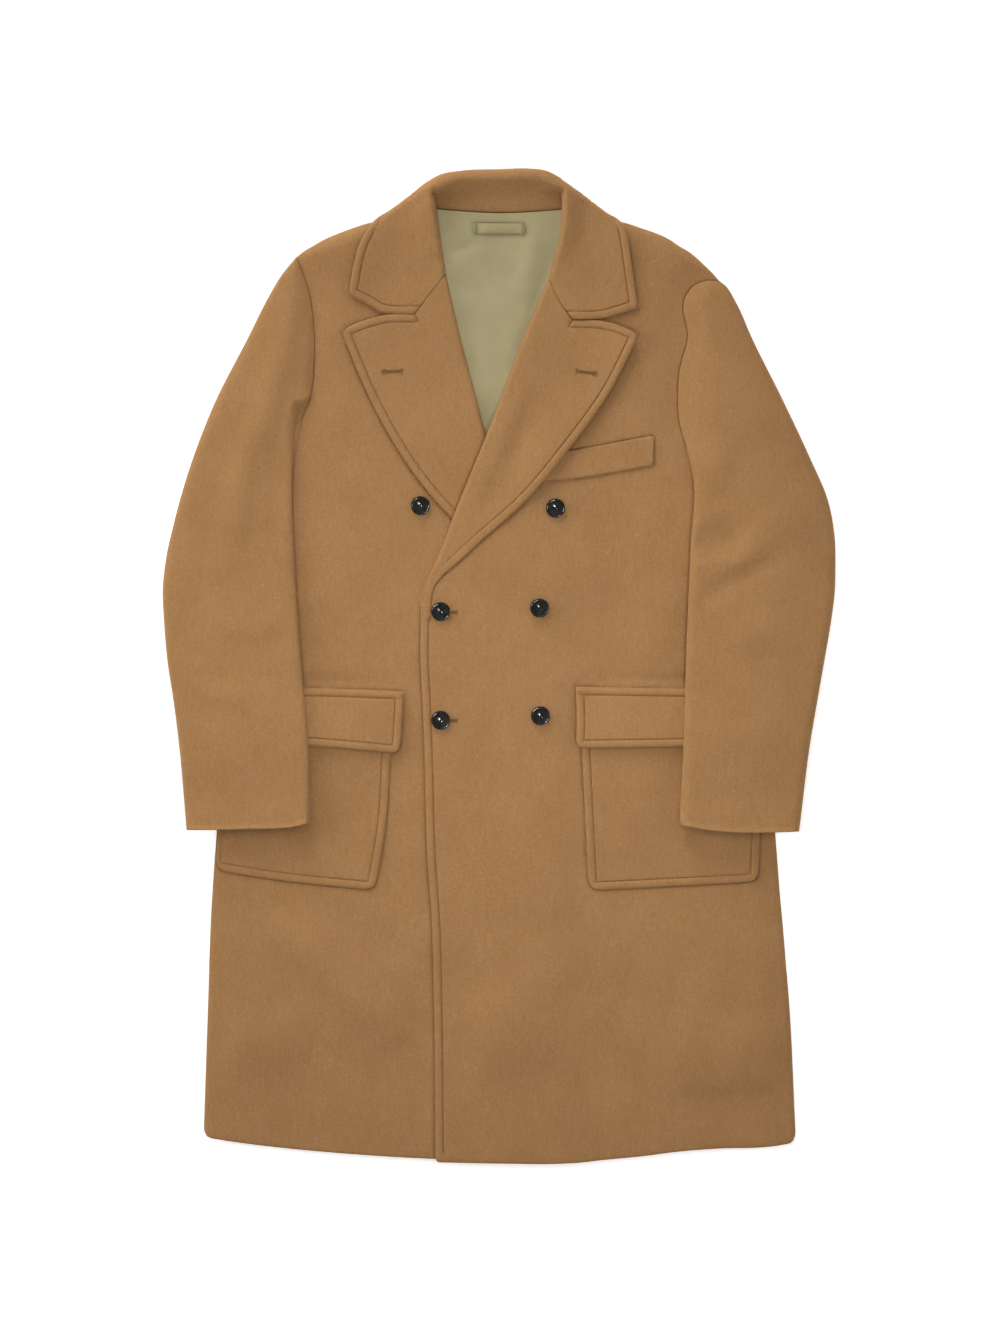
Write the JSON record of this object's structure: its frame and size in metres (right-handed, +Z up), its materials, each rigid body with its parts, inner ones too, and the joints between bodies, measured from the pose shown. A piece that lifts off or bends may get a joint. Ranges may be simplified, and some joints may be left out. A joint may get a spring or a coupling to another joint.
{
  "type": "double-breasted overcoat",
  "caption": "Double-breasted wool overcoat laid flat on its back and buttoned, with peaked lapels, flapped patch pockets, a chest welt and a visible back lining.",
  "frame": {"origin": "on the surface that the coat lies on, under the centre of its outline", "axes": "+X towards the wearer's left side, +Y from the hem to the collar, +Z up out of the front of the coat"},
  "size_m": [0.7631, 1.132, 0.0234],
  "materials": {
    "camel_wool": "camel wool melton, felted and matt",
    "sage_lining": "sage twill lining with a soft sheen",
    "horn": "near-black polished horn look"
  },
  "bodies": {
    "root": {"back": "camel_wool", "back_lining": "sage_lining", "button_lower_left": "horn", "button_lower_right": "horn", "button_middle_left": "horn", "button_middle_right": "horn", "button_upper_left": "horn", "button_upper_right": "horn", "chest_welt": "camel_wool", "collar": "camel_wool", "collar_stand": "camel_wool", "flap_left": "camel_wool", "flap_right": "camel_wool", "front_left": "camel_wool", "front_right": "camel_wool", "hanger_loop": "sage_lining", "lapel_left": "camel_wool", "lapel_right": "camel_wool", "pocket_left": "camel_wool", "pocket_right": "camel_wool", "sleeve_top_left": "camel_wool", "sleeve_top_right": "camel_wool", "sleeve_under_left": "camel_wool", "sleeve_under_right": "camel_wool"}
  },
  "joints": []
}
